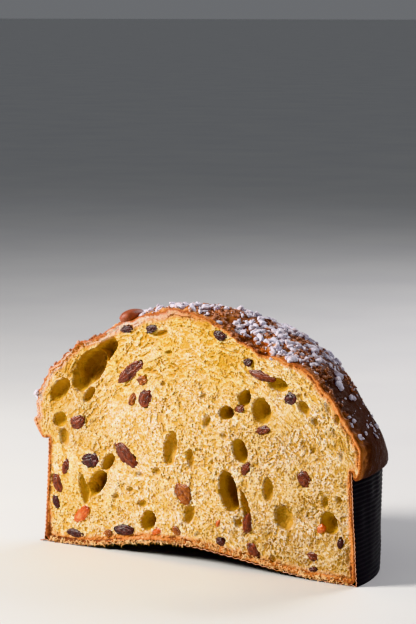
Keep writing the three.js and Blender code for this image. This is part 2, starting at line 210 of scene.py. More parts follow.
def bubbles(points, size, seed):
    """For each point of a plane, the distance into its bubble from the nearest wall, from 0 at
    the wall, and the bubble's own random number."""
    scaled = points / size
    base = np.floor(scaled).astype(np.int64)
    nearest = np.full(len(points), 9.0)
    second = np.full(len(points), 9.0)
    own = np.zeros(len(points))
    for step in itertools.product((-1, 0, 1), repeat=2):
        cell = base + np.array(step)
        site = np.stack([lattice_random(cell, seed), lattice_random(cell, seed + 101)], 1)
        distance = np.linalg.norm(cell + 0.08 + 0.84 * site - scaled, axis=1)
        closer = distance < nearest
        second = np.where(closer, nearest, np.minimum(second, distance))
        own = np.where(closer, lattice_random(cell, seed + 202), own)
        nearest = np.minimum(nearest, distance)
    return second - nearest, own


def ridges(points, cell, seed=0, layers=3):
    """Values from 0 to about 1, high along thin winding lines."""
    total = 0
    strength = 0.6
    for layer in range(layers):
        total = total + strength * (1 - np.abs(noise(points, cell * 0.5 ** layer, seed + layer)) * 1.6)
        strength *= 0.5
    return np.clip(total, 0, None)


def near_cut(theta, sharpness, side):
    return np.clip(side * np.cos(theta), 0, None) ** sharpness


def case_radius(theta, z):
    share = z / CASE_HEIGHT
    back = mix(CASE_BACK["foot"], CASE_BACK["brim"], share)
    cut = mix(CASE_CUT["foot"], CASE_CUT["brim"], share)
    return mix(back, cut, np.abs(np.cos(theta)) ** CUT_END_SHARPNESS)


def arch_height(r):
    return ARCH_HEIGHT * np.cos(np.minimum(1, r / ARCH_RADIUS) * math.pi / 2) ** 2


def place(theta, r, z):
    slide = PEAK_SHIFT * np.maximum(0, 1 - (r / ARCH_RADIUS) ** 2) ** 2
    return np.stack(np.broadcast_arrays(r * np.cos(theta) + slide, r * np.sin(theta), z), -1)


def tear_share(x, y):
    along = smoothstep(x, TEAR["start"], TEAR["start"] + TEAR["ramp_in"])
    along = along * (1 - smoothstep(x, TEAR["stop"] - TEAR["ramp_out"], TEAR["stop"]))
    return along * (1 - smoothstep(y, 0, TEAR["reach"]))


def rim_at(theta):
    left = near_cut(theta, LEFT_SHARPNESS, -1)
    right = near_cut(theta, RIGHT_SHARPNESS, 1)
    return {
        key: left * RIM_LEFT[key] + right * RIM_RIGHT[key] + (1 - left - right) * RIM_BACK[key]
        for key in RIM_BACK
    }


def dome_point(rim, angle):
    outward = np.cos(angle)
    height = np.maximum(0, 1 - outward ** rim["crown"]) ** rim["drop"]
    return rim["radius"] * outward, rim["height"] + (PEAK_HEIGHT - rim["height"]) * height


def dome_arc(x, z):
    """Millimetres along the dome's outline, for patterns that follow the crust."""
    return np.arctan2(z - DOME_CENTRE, x) * DOME_ARC


def evenly(low, high, count):
    return [low + (high - low) * i / (count - 1) for i in range(count)]


def loaf_section(theta):
    """Points of the loaf's section at theta and the share of the way from cased wall to crust."""
    floor = BREAD_FLOOR
    seam = CASE_HEIGHT + GAP
    points = []
    crust = []

    def add(r, z, share=0.0):
        points.append(place(theta, r, z))
        crust.append(share)

    for r in evenly(0, ARCH_RADIUS, 34):
        add(r, arch_height(r) + floor)
    foot = case_radius(theta, 0) - BREAD_INSET
    for r in evenly(ARCH_RADIUS + 2.5, foot - CORNER, 5):
        add(r, floor)
    for z in evenly(floor + CORNER, seam, 36):
        add(case_radius(theta, z) - BREAD_INSET, z)
    outside = case_radius(theta, CASE_HEIGHT) + GAP
    rim = rim_at(theta)
    tip_height = seam - rim["hang"]
    add(outside, seam, 0.5)
    add(outside + 0.2 * LIP_THICKNESS, tip_height + 0.2 * rim["hang"], 0.7)
    end = math.radians(1) * rim["end"]
    end_r, end_z = dome_point(rim, end)
    ahead_r, ahead_z = dome_point(rim, end + 0.02)
    down_r, down_z = end_r - ahead_r, end_z - ahead_z
    length = math.hypot(down_r, down_z)
    handles = [
        (outside + LIP_THICKNESS, tip_height),
        (outside + LIP_THICKNESS + rim["roll"] * 0.6, tip_height),
        (end_r + down_r / length * rim["roll"], end_z + down_z / length * rim["roll"]),
        (end_r, end_z),
    ]
    for t in evenly(0, 1, 18):
        weights = ((1 - t) ** 3, 3 * t * (1 - t) ** 2, 3 * t * t * (1 - t), t ** 3)
        add(*(sum(w * h[i] for w, h in zip(weights, handles)) for i in (0, 1)), 1.0)
    for t in evenly(0, 1, 120)[1:]:
        r, z = dome_point(rim, mix(end, math.pi / 2, t))
        add(0.0 if t == 1 else r, z, 1.0)
    return np.array(points), np.array(crust)


def crust_relief(points):
    """How far crust points are moved along their outward direction, and how torn they are."""
    x, y, z = points.T
    torn = tear_share(x + 4 * noise(points[:, :2], 18, 5), y + 6 * noise(points[:, :2], 14, 6))
    broad = 1.1 * noise(points, 30, 1) + 0.7 * noise(points, 13, 2)
    calm = 1 - 0.65 * smoothstep(np.hypot(x, y), 60, 90)
    crags = (0.9 * ridges(points, 7, 20) ** 2 - 0.35) * calm
    pimples = (0.4 * noise(points, 2.6, 3) + 0.2 * noise(points, 1.5, 4)) * calm
    stretched = points * np.array([0.45, 1.0, 1.0])
    tears = 3.2 * ridges(stretched, 8, 30) - 1.6 + 0.7 * noise(points, 3, 7)
    arc = dome_arc(x, z)
    beside_cut = (1 - smoothstep(y, 6, 14)) * smoothstep(z, 62, 68)
    flakes = 1.5 * ridges(np.stack([arc / 4.5, y], 1), 3.6, 33, 2) ** 1.5 - 0.7
    knobs = 2.6 * smoothstep(noise(np.stack([arc, y * 1.3], 1), 6.0, 35), -0.1, 0.5) - 0.8
    knobs = knobs + 0.7 * noise(np.stack([arc, y], 1), 2.6, 36)
    left = smoothstep(-x, 45, 70)
    knobs = knobs * (1 - 0.6 * smoothstep(z, 98, 112))
    relief = mix(crags + pimples, tears, torn)
    relief = relief + beside_cut * (mix(flakes, knobs, left) + 0.5 * noise(points, 2.2, 8))
    return broad + relief, torn


def outward(points):
    """A rough outward direction on the dome: away from a point low on the axis."""
    direction = points - np.array([0, 0, DOME_CENTRE])
    direction /= np.linalg.norm(direction, axis=1)[:, None]
    return direction


def to_frame(points):
    moved = np.asarray(points, float) * MM
    moved[:, 0] += AXIS_X
    moved[:, 1] += CUT_Y
    return moved


def from_frame(points):
    return points / MM - np.array([AXIS_X / MM, CUT_Y / MM, 0])


def new_object(name, points, faces, materials):
    mesh = bpy.data.meshes.new(name)
    mesh.from_pydata(to_frame(points).tolist(), [], faces)
    for material in materials:
        mesh.materials.append(material)
    mesh.polygons.foreach_set("use_smooth", [True] * len(mesh.polygons))
    mesh.update()
    piece = bpy.data.objects.new(name, mesh)
    bpy.context.scene.collection.objects.link(piece)
    return piece


def add_values(piece, name, values):
    layer = piece.data.attributes.new(name, "FLOAT", "POINT")
    layer.data.foreach_set("value", np.asarray(values, np.float32))


def finish_piece(piece, slot, *nodes):
    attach(piece, "root")
    if nodes:
        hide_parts(*nodes)
    return piece


class Shader:
    """Builds a node material with short calls."""

    def __init__(self, name):
        self.material = bpy.data.materials.new(name)
        self.material.use_nodes = True
        self.tree = self.material.node_tree
        self.surface = self.tree.nodes["Principled BSDF"]

    def node(self, kind, **settings):
        node = self.tree.nodes.new(kind)
        for key, value in settings.items():
            setattr(node, key, value)
        return node

    def link(self, source, target):
        self.tree.links.new(source, target)

    def feed(self, socket, value):
        if isinstance(value, bpy.types.NodeSocket):
            self.link(value, socket)
        else:
            socket.default_value = (*value, 1) if socket.type == "RGBA" else value

    def value(self, attribute):
        return self.node("ShaderNodeAttribute", attribute_name=attribute).outputs["Fac"]

    def place(self):
        """The surface point in metres, fixed to the part."""
        return self.node("ShaderNodeTexCoord").outputs["Object"]

    def texture(self, kind, size, **inputs):
        texture = self.node(kind)
        self.link(self.place(), texture.inputs["Vector"])
        texture.inputs["Scale"].default_value = 1 / (size * MM)
        for key, value in inputs.items():
            texture.inputs[key].default_value = value
        return texture

    def noise(self, size, detail=3.0, roughness=0.55, distortion=0.0):
        """Noise from 0 to 1 with features about size millimetres across."""
        return self.texture("ShaderNodeTexNoise", size, Detail=detail, Roughness=roughness,
                            Distortion=distortion).outputs["Fac"]

    def cells(self, size):
        return self.texture("ShaderNodeTexVoronoi", size).outputs["Distance"]

    def math(self, operation, *values):
        node = self.node("ShaderNodeMath", operation=operation)
        for socket, value in zip(node.inputs, values):
            self.feed(socket, value)
        return node.outputs[0]

    def times(self, *values):
        return self.math("MULTIPLY", *values)

    def plus(self, *values):
        return self.math("ADD", *values)

    def swing(self, value, size):
        """A value from 0 to 1 made to swing about 0, over the given size in all."""
        return self.times(self.math("SUBTRACT", value, 0.5), size)

    def band(self, value, low, high, out_low=0.0, out_high=1.0):
        node = self.node("ShaderNodeMapRange", interpolation_type="SMOOTHSTEP")
        for socket, item in zip(node.inputs[:5], (value, low, high, out_low, out_high)):
            self.feed(socket, item)
        return node.outputs[0]

    def ramp(self, value, stops):
        node = self.node("ShaderNodeValToRGB")
        self.link(value, node.inputs[0])
        while len(node.color_ramp.elements) < len(stops):
            node.color_ramp.elements.new(0.5)
        for element, (position, colour) in zip(node.color_ramp.elements, stops):
            element.position = position
            element.color = (*colour, 1)
        return node.outputs[0]

    def blend(self, share, low, high, kind="MIX"):
        node = self.node("ShaderNodeMix", data_type="RGBA", blend_type=kind)
        self.feed(node.inputs["Factor"], share)
        for socket, colour in zip((node.inputs[6], node.inputs[7]), (low, high)):
            self.feed(socket, colour)
        return node.outputs[2]

    def bump(self, *layers):
        """layers: (height value, height in millimetres)."""
        normal = None
        for height, millimetres in layers:
            node = self.node("ShaderNodeBump")
            node.inputs["Strength"].default_value = 1.0
            node.inputs["Distance"].default_value = millimetres * MM
            self.link(height, node.inputs["Height"])
            if normal:
                self.link(normal, node.inputs["Normal"])
            normal = node.outputs[0]
        self.link(normal, self.surface.inputs["Normal"])

    def set(self, colour, roughness, specular, **others):
        inputs = {"Base_Color": colour, "Roughness": roughness, "Specular_IOR_Level": specular, **others}
        for key, value in inputs.items():
            self.feed(self.surface.inputs[key.replace("_", " ")], value)
        return self.material


CREAM = (0.74, 0.52, 0.23)
PALE = (1.0, 0.94, 0.83)
YELLOW = (0.64, 0.36, 0.055)
# Darker gold for the deep parts of the pores, as painted shade.
PORE_SHADE_GOLD = (0.50, 0.25, 0.035)
# Greyish multiply used as painted shade on the crumb.
PAINTED_SHADE_TINT = (0.66, 0.59, 0.53)
FILM_GOLD = (0.58, 0.335, 0.040)
FILM_SHADE_BROWN = (0.18, 0.062, 0.008)
PEACH = (0.72, 0.36, 0.15)
RIM_ORANGE = (0.50, 0.17, 0.045)
RIM_BROWN = (0.17, 0.045, 0.018)
RIM_PINK = (0.78, 0.50, 0.36)
CRUST_AMBER = (0.40, 0.135, 0.040)
CRUST_BROWN = (0.13, 0.042, 0.018)
CRUST_DARK = (0.050, 0.017, 0.009)
SUGAR_WHITE = (0.70, 0.67, 0.78)


def scattered_glow(light, radius, millimetres):
    """Settings for light that goes under the surface and comes out again."""
    return {"Subsurface_Weight": light, "Subsurface_Radius": radius, "Subsurface_Scale": millimetres * MM}


def crumb_material():
    s = Shader("crumb")
    deep, film, bubble = (s.value(name) for name in ("deep", "film", "bubble"))
    fine = s.noise(1.0, 4, 0.7)
    jitter = s.swing(fine, 1.4)
    colour = s.blend(s.band(fine, 0.43, 0.57), CREAM, PALE)
    colour = s.blend(s.band(s.noise(18, 3), 0.40, 0.62, 0.0, 0.35), colour, (0.90, 0.62, 0.15))
    # Painted shade: the bubbles are coloured darker golden than their walls, and darker gold still with
    # depth, standing in for shade and bounced golden light in the pores.
    bubble_shade = s.plus(bubble, s.times(jitter, 0.6))
    colour = s.blend(s.band(bubble_shade, 0.15, 0.8, 0.0, 0.92), colour, YELLOW)
    colour = s.blend(s.band(s.plus(deep, jitter), 0.75, 2.3, 0.0, 0.9), colour, PORE_SHADE_GOLD)
    # Pinholes too small for the mesh: a dip in the bump and a dark brown colour, the colour being painted
    # shade inside them.
    pins = []
    for size, mask in ((1.0, 4), (1.8, 7)):
        spots = s.plus(s.cells(size), s.swing(s.noise(mask, 2), 1.1))
        pins.append(s.band(spots, 0.14, 0.30, 1.0, 0.0))
    pinholes = s.math("MAXIMUM", *pins)
    colour = s.blend(s.times(pinholes, 0.8), colour, (0.40, 0.19, 0.035))
    sunny = s.times(s.value("sunny"), s.band(s.noise(12, 3), 0.35, 0.62, 0.35, 1.0))
    colour = s.blend(sunny, colour, (0.98, 0.90, 0.56), "MULTIPLY")
    # Painted shade: a greyish multiply that darkens the crumb towards the right and lower right, and on the
    # left.
    tan = s.times(s.value("tan"), s.band(s.noise(9, 3), 0.35, 0.65, 0.55, 1.0))
    colour = s.blend(tan, colour, PAINTED_SHADE_TINT, "MULTIPLY")
    colour = film_lining(s, colour, deep, film, jitter)
    colour = browned_edge(s, colour, film)
    s.bump((fine, 0.22), (s.times(pinholes, -1.0), 0.3))
    return s.set(colour, s.band(film, 0.3, 1.0, 0.8, 0.5), 0.25,
                 **scattered_glow(0.3, (1.0, 0.6, 0.3), 1.1))


def film_lining(s, colour, deep, film, jitter):
    """Lays the smooth golden film of the large hollows over the crumb, turned brown by painted shade where
    it is deep.
    """
    lining = s.times(film, s.band(s.plus(deep, s.times(jitter, 0.5)), 0.6, 3.0))
    colour = s.blend(lining, colour, FILM_GOLD)
    streaks = s.noise(2.6, 4, 0.6, 1.5)
    colour = s.blend(s.times(lining, s.band(streaks, 0.5, 0.75, 0.0, 0.5)), colour, YELLOW)
    # Painted shade: the lining is coloured brown deeper in the hollow.
    darker = s.plus(deep, s.swing(streaks, -7.0))
    return s.blend(s.times(film, s.band(darker, 4.2, 10.0, 0.0, 0.95)), colour, FILM_SHADE_BROWN)


def browned_edge(s, colour, film):
    """Lays the baked edge over the crumb: a peach border, then speckled crust, then thin skin."""
    edge = s.value("edge")
    wander = s.swing(s.noise(4, 4, 0.65), 1.5)
    open_crumb = s.math("SUBTRACT", 1.0, film)
    border = s.times(open_crumb, s.band(s.plus(edge, wander), 0.9, 1.7, 0.6, 0.0))
    colour = s.blend(border, colour, PEACH)
    speckle = s.plus(s.noise(1.8, 4, 0.7, 0.8), s.times(s.value("layered"), 0.17))
    orange = s.ramp(speckle, [(0.38, RIM_BROWN), (0.50, RIM_ORANGE), (0.64, (0.64, 0.24, 0.065)),
                              (0.84, PEACH)])
    pink = s.ramp(speckle, [(0.33, RIM_ORANGE), (0.41, PEACH), (0.49, RIM_PINK),
                            (0.60, (0.84, 0.66, 0.53))])
    crusty = s.blend(s.value("pink"), orange, pink)
    baked = s.band(s.plus(edge, s.times(wander, 0.5)), 0.7, 1.25, 1.0, 0.0)
    colour = s.blend(baked, colour, crusty)
    skin = s.band(s.plus(edge, s.times(wander, 0.25)), 0.12, 0.42, 0.9, 0.0)
    return s.blend(skin, colour, (0.36, 0.10, 0.035))


def crust_material():
    s = Shader("crust")
    torn, high = s.value("torn"), s.value("high")
    mid = s.noise(4.5, 5, 0.65, 0.6)
    fine = s.noise(1.1, 3, 0.6)
    # The dark values are partly the baked tone and partly painted shade on the right and back of the dome.
    shade = s.plus(s.value("dark"), s.swing(s.noise(22, 3, 0.6), 0.5))
    shade = s.plus(shade, s.swing(mid, 0.9))
    # Painted shade: the crust is coloured darker in the valleys of its relief and lighter on its ridges.
    shade = s.plus(shade, s.times(high, -0.16))
    colour = s.ramp(shade, [(0.0, PEACH), (0.14, RIM_ORANGE), (0.32, CRUST_AMBER), (0.55, CRUST_BROWN),
                            (0.85, CRUST_DARK)])
    # The same painted shade on the torn crust: darker in its valleys, lighter on its ridges.
    ragged = s.plus(mid, s.times(high, 0.09))
    torn_colour = s.ramp(s.plus(ragged, s.swing(fine, 0.3)),
                         [(0.36, (0.06, 0.010, 0.006)), (0.45, (0.38, 0.070, 0.018)),
                          (0.56, (0.60, 0.20, 0.055)), (0.70, (0.76, 0.44, 0.26))])
    colour = s.blend(s.times(torn, 0.9), colour, torn_colour)
    s.bump((s.noise(3, 4, 0.6, 0.4), 0.8), (fine, 0.35))
    dull = s.math("SUBTRACT", s.band(mid, 0.3, 0.7, 0.36, 0.65), s.times(torn, 0.12))
    return s.set(colour, dull, s.band(shade, 0.2, 0.75, 0.3, 0.10),
                 Specular_Tint=(1.0, 0.66, 0.48), **scattered_glow(0.08, (1.0, 0.4, 0.2), 1))


def crust_crumb_material():
    s = Shader("crust_crumbs")
    colour = s.ramp(s.noise(2.2, 3, 0.7), [(0.32, (0.13, 0.035, 0.018)), (0.48, (0.36, 0.13, 0.06)),
                                           (0.62, (0.55, 0.28, 0.18)), (0.74, (0.66, 0.50, 0.45))])
    s.bump((s.noise(0.5, 3, 0.7), 0.2))
    return s.set(colour, 0.6, 0.35)


def crumb_bit_material():
    s = Shader("crumb_bits")
    colour = s.ramp(s.noise(3.0, 3, 0.7), [(0.34, (0.45, 0.17, 0.06)), (0.5, (0.78, 0.46, 0.20)),
                                           (0.66, (0.92, 0.72, 0.42))])
    s.bump((s.noise(0.5, 3, 0.7), 0.2))
    return s.set(colour, 0.8, 0.2)


def sugar_material():
    s = Shader("pearl_sugar")
    colour = s.blend(s.band(s.noise(3, 4, 0.65), 0.42, 0.7), SUGAR_WHITE, (0.46, 0.34, 0.34))
    s.bump((s.noise(0.5, 3, 0.7), 0.2))
    return s.set(colour, 0.42, 0.5,
                 **scattered_glow(0.4, (1.0, 0.9, 0.9), 1.2))


def raisin_material(name, dark, light, roughness):
    s = Shader(name)
    # Painted shade: the skin is coloured darker in the creases of its wrinkles.
    tone = s.plus(s.noise(2.2, 4, 0.6, 0.5), s.times(s.value("fold"), -0.22))
    colour = s.ramp(tone, [(0.22, dark), (0.52, light), (0.66, tuple(1.5 * c for c in light))])
    s.bump((s.noise(1.2, 3, 0.6, 0.8), 0.35), (s.noise(0.4, 2), 0.08))
    return s.set(colour, roughness, 0.5,
                 **scattered_glow(0.2, (1.0, 0.25, 0.08), 1.5))


def peel_material():
    s = Shader("candied_peel")
    # Patchy orange, and the lightest orange patches are a painted highlight.
    colour = s.ramp(s.noise(4.5, 3), [(0.36, (0.40, 0.045, 0.005)), (0.54, (0.56, 0.115, 0.014)),
                                      (0.70, (0.78, 0.32, 0.10))])
    s.bump((s.noise(1.4, 3), 0.25))
    return s.set(colour, 0.22, 0.5, Coat_Weight=0.4,
                 Coat_Roughness=0.1, **scattered_glow(0.3, (1.0, 0.35, 0.08), 2))


def almond_material():
    s = Shader("almond_skin")
    streaks = s.noise(0.9, 3, 0.6, 0.2)
    colour = s.ramp(s.plus(s.times(streaks, 0.6), s.times(s.noise(5, 2), 0.4)),
                    [(0.35, (0.19, 0.042, 0.020)), (0.65, (0.42, 0.115, 0.055))])
    s.bump((streaks, 0.3), (s.noise(0.35, 2), 0.1))
    return s.set(colour, 0.42, 0.5)


def paper_material():
    s = Shader("case_paper")
    # The paper is black, and its colour is made darker still as painted shade.
    colour = s.ramp(s.noise(9, 4), [(0.3, (0.0035, 0.0028, 0.0035)), (0.7, (0.009, 0.007, 0.009))])
    s.bump((s.noise(0.5, 3, 0.6), 0.06))
    return s.set(colour, 0.5, 0.18)


def paper_edge_material():
    s = Shader("case_paper_edge")
    colour = s.ramp(s.noise(1.8, 4, 0.7), [(0.3, (0.42, 0.15, 0.08)), (0.5, (0.66, 0.32, 0.20)),
                                           (0.7, (0.80, 0.52, 0.40))])
    s.bump((s.noise(0.6, 3, 0.7), 0.2))
    return s.set(colour, 0.8, 0.2)


def floor_material():
    s = Shader("studio_floor")
    colour = s.ramp(s.noise(160, 2), [(0.3, (0.70, 0.70, 0.70)), (0.7, (0.74, 0.74, 0.73))])
    return s.set(colour, 0.6, 0.3)


# Fruit of the cut face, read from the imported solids
def node_points(name):
    return from_frame(np.array([v.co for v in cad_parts[name].data.vertices], float))


def fruit_frame(name):
    """Centre, directions and half sizes of a fruit in the plane of the cut, and how far back
    it reaches."""
    points = node_points(name)
    flat = points[:, [0, 2]]
    centre = (flat.max(0) + flat.min(0)) / 2
    along = np.linalg.eigh(np.cov((flat - centre).T))[1][:, 1]
    across = np.array([-along[1], along[0]])
    spans = [(flat - centre) @ axis for axis in (along, across)]
    middle = centre + sum((s.max() + s.min()) / 2 * axis for s, axis in zip(spans, (along, across)))
    a, b = ((s.max() - s.min()) / 2 for s in spans)
    return {"centre": middle, "along": along, "across": across, "a": a, "b": b,
            "back": points[:, 1].max()}


FRUITS = {
    name: fruit_frame(name)
    for name in sorted(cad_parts)
    if name.startswith(("raisin", "peel"))
}


# Depth field of the cut face
FIELD_LOW = np.array([-112.0, -2.0])
FIELD_SIZE = (900, 590)


def field_window(centre, reach):
    low = np.floor((centre - reach - FIELD_LOW) / FIELD_STEP).astype(int)
    high = np.ceil((centre + reach - FIELD_LOW) / FIELD_STEP).astype(int) + 1
    low = np.maximum(low, 0)
    high = np.minimum(high, FIELD_SIZE)
    x = FIELD_LOW[0] + FIELD_STEP * np.arange(low[0], high[0])[:, None]
    z = FIELD_LOW[1] + FIELD_STEP * np.arange(low[1], high[1])[None, :]
    return (slice(low[0], high[0]), slice(low[1], high[1])), x - centre[0], z - centre[1]


def stamp(field, centre, a, b, tilt, depth, roundness, wobble):
    """Deepens the field to an ellipsoidal hollow and returns where it reaches."""
    window, dx, dz = field_window(np.asarray(centre, float), max(a, b) * 1.3)
    c, s = math.cos(tilt), math.sin(tilt)
    along = (dx * c + dz * s) / a
    across = (-dx * s + dz * c) / b
    rho = (along ** 2 + across ** 2) * (1 + wobble[window])
    inside = np.clip(1 - rho, 0, None) ** roundness * depth
    np.maximum(field[window], inside, out=field[window])
    return window, rho


def foam(points, seed):
    """Depth of an open crumb, bubbles of several sizes with thin walls left between them, and
    how much of each place is bubble rather than wall."""
    depth = np.zeros(len(points))
    hollow = np.zeros(len(points))
    for size, deep, share, layer in ((5.2, 2.0, 0.10, 0), (3.1, 1.6, 0.17, 1), (1.85, 1.1, 0.36, 2),
                                     (1.25, 0.8, 0.60, 3)):
        into, own = bubbles(points, size, seed + layer)
        open_share = smoothstep(own, 1 - share, 1 - share + 0.3)
        inside = smoothstep(into * size, 0.05, 0.5) * open_share
        np.maximum(depth, deep * inside, out=depth)
        np.maximum(hollow, inside, out=hollow)
    into, own = bubbles(points, 1.0, seed + 7)
    pin = smoothstep(into, 0.05, 0.4) * smoothstep(own, 0.3, 0.85)
    return depth + 0.6 * pin, np.maximum(hollow, 0.8 * pin)


def crumb_field():
    """Depth behind the cut plane, film share and bubble share, all on a fine square grid."""
    rng = np.random.default_rng(SEED)
    x = FIELD_LOW[0] + FIELD_STEP * np.arange(FIELD_SIZE[0])
    z = FIELD_LOW[1] + FIELD_STEP * np.arange(FIELD_SIZE[1])
    grid = np.stack(np.meshgrid(x, z, indexing="ij"), -1).reshape(-1, 2)
    warp = np.stack([0.3 * noise(grid, 2.2, 41) + 2 * noise(grid, 9, 43),
                     0.3 * noise(grid, 2.2, 42) + 2 * noise(grid, 9, 44)], 1)
    upright = (grid + warp) / np.array([1.0, 1.25])
    across = grid - np.array(CRUMB_CENTRE)
    radius = np.hypot(across[:, 0], across[:, 1])
    around = np.arctan2(across[:, 1], across[:, 0])
    along_crust = np.stack([around * DOME_ARC / 2.0, radius], 1) + warp
    near_dome = smoothstep(radius, 56, 76) * smoothstep(grid[:, 1], 52, 74)
    pores, bubble = (mix(low, high, near_dome).reshape(FIELD_SIZE)
                     for low, high in zip(foam(upright, 60), foam(along_crust, 80)))

    def field_noise(cell, seed):
        return noise(grid, cell, seed).reshape(FIELD_SIZE)

    pores *= 0.42 + 0.4 * (0.5 + 0.5 * field_noise(15, 53))
    wobble = 0.30 * field_noise(3.2, 51) + 0.22 * field_noise(1.4, 52)
    hollows = np.zeros(FIELD_SIZE)
    film = np.zeros(FIELD_SIZE)
    for x0, z0, a, b, tilt, depth, lining in HOLLOWS:
        window, rho = stamp(hollows, (x0, z0), a, b, math.radians(tilt), depth, 0.6,
                            mix(0.8, 0.22, lining) * wobble)
        np.maximum(film[window], lining * smoothstep(1.05 - rho, 0, 0.3), out=film[window])
    folds = ridges(grid * np.array([1.0, 0.55]), 7, 57, 2).reshape(FIELD_SIZE)
    hollows *= 1.08 - 0.24 * folds
    strands = np.zeros(FIELD_SIZE)
    for x0, z0, a, b, tilt, rise in STRANDS:
        stamp(strands, (x0, z0), a, b, math.radians(tilt), rise, 0.7, wobble)
    hollows = np.maximum(hollows - strands, np.minimum(hollows, 0.8))
    film *= 1 - 0.9 * smoothstep(strands, 0.5, 4)
    drawn = np.zeros(FIELD_SIZE)
    for x0, z0, a, b, tilt in STREAKS:
        stamp(drawn, (x0, z0), a, b, math.radians(tilt), 1.0, 0.8, wobble)
    pores *= 1 - 0.75 * drawn
    bubble *= 1 - 0.85 * drawn
    undulation = -0.5 * drawn + (0.6 * field_noise(17, 54) + 0.35 * field_noise(7, 55))
    field = hollows + pores * (1 - 0.9 * film) + undulation
    field += 0.14 * field_noise(0.75, 56) * (1 - 0.7 * film)
    for fruit in FRUITS.values():
        tilt = math.atan2(fruit["along"][1], fruit["along"][0])
        turn = rng.random() * 2 * math.pi
        centre = fruit["centre"] + 0.7 * np.array([math.cos(turn), math.sin(turn)])
        socket = np.zeros(FIELD_SIZE)
        stamp(socket, centre, fruit["a"] - 0.5, fruit["b"] - 0.4, tilt, 2.6, 0.35, 1.6 * wobble)
        field = np.maximum(field, socket)
    return field, film, bubble * (1 - film)


def sample(field, points):
    """Value of a field at x, z points, blended between the four nearest grid values."""
    place_in = (points - FIELD_LOW) / FIELD_STEP
    base = np.clip(np.floor(place_in).astype(int), 0, np.array(FIELD_SIZE) - 2)
    part = np.clip(place_in - base, 0, 1)
    i, j = base.T
    u, v = part.T
    return (field[i, j] * (1 - u) * (1 - v) + field[i + 1, j] * u * (1 - v)
            + field[i, j + 1] * (1 - u) * v + field[i + 1, j + 1] * u * v)


def loaf_shell():
    """The outside of the loaf, from one end of the cut round to the other: points, faces, the
    points along the cut, each point's share of crust, its relief and how torn it is."""
    sections = [loaf_section(theta) for theta in np.linspace(0, math.pi, TURN_STEPS + 1)]
    columns = np.array([section[0] for section in sections])
    rows = columns.shape[1]
    plain = columns.reshape(-1, 3)
    share = np.array([section[1] for section in sections]).reshape(-1)
    relief, torn = crust_relief(plain)
    shell = plain + outward(plain) * (relief * smoothstep(share, 0.6, 1.0))[:, None]
    shell[:, 2] -= TEAR["depth"] * tear_share(plain[:, 0], plain[:, 1]) * (share == 1)
    last = TURN_STEPS * rows
    shell[:rows, 1] = 0
    shell[last:, 1] = 0
    alias = np.arange(len(shell))
    for pole in (0, rows - 1):
        shell[pole::rows] = shell[pole::rows].mean(0) * np.array([1, 0, 1])
        alias[pole::rows] = pole
    faces = []
    for i in range(TURN_STEPS):
        here = i * rows + np.arange(rows - 1)
        quads = np.stack([alias[here], alias[here + rows], alias[here + rows + 1], alias[here + 1]], 1)
        faces.extend(list(dict.fromkeys(quad)) for quad in quads.tolist())
    outline = list(range(rows)) + [last + j for j in range(rows - 2, 0, -1)]
    return shell, faces, outline, share, relief, torn


def cut_lattice(border):
    """Points spread evenly over the cut inside its border, and how far each is from it."""
    rng = np.random.default_rng(SEED + 1)
    xs = np.arange(-LATTICE_HALF_WIDTH, LATTICE_HALF_WIDTH, CRUMB_STEP)
    zs = np.arange(0, LATTICE_TOP, CRUMB_STEP * LATTICE_ROW)
    lattice = np.stack(np.meshgrid(xs, zs, indexing="ij"), -1)
    lattice[:, 1::2, 0] += CRUMB_STEP / 2
    lattice = lattice.reshape(-1, 2)
    lattice += rng.uniform(-0.16, 0.16, lattice.shape) * CRUMB_STEP
    tree = KDTree(len(border))
    for k, (x, z) in enumerate(border):
        tree.insert((x, z, 0), k)
    tree.balance()
    lattice = lattice[points_inside(lattice, border)]
    distance = np.array([tree.find((x, z, 0))[2] for x, z in lattice])
    room = distance > BORDER_ROOM
    return lattice[room], distance[room]


def cut_tints(x, z, from_edge):
    """Layering of the browned edge, and shares of the tints laid over parts of the cut face. The last share
    is painted shade that greys and darkens the crumb towards the right and lower right, and on the left.
    """
    layers = np.stack([from_edge, dome_arc(x, z) / 9], 1)
    upper = smoothstep(z, 78, 112) * (1 - smoothstep(x, 25, 60))
    upper_left = smoothstep(-x, 45, 85) * (1 - smoothstep(z, 85, 105))
    # Painted shade: where the crumb is greyed and darkened towards the right and lower right, and on the
    # left.
    right = smoothstep(x, -30, 60) * (1 - smoothstep(z, 62, 112)) * (0.75 + 0.25 * smoothstep(-z, -50, -20))
    left = smoothstep(-x, 50, 85) * smoothstep(z, 45, 70) * (1 - smoothstep(z, 110, 124))
    return {
        "layered": 1.2 * noise(layers, 0.8, 95) + 0.8 * noise(layers, 1.9, 96),
        "pink": smoothstep(-x, -5, 40) * smoothstep(z, 60, 75),
        "sunny": np.maximum(upper, upper_left * 0.7),
        "tan": np.maximum(right, 0.8 * left),
    }


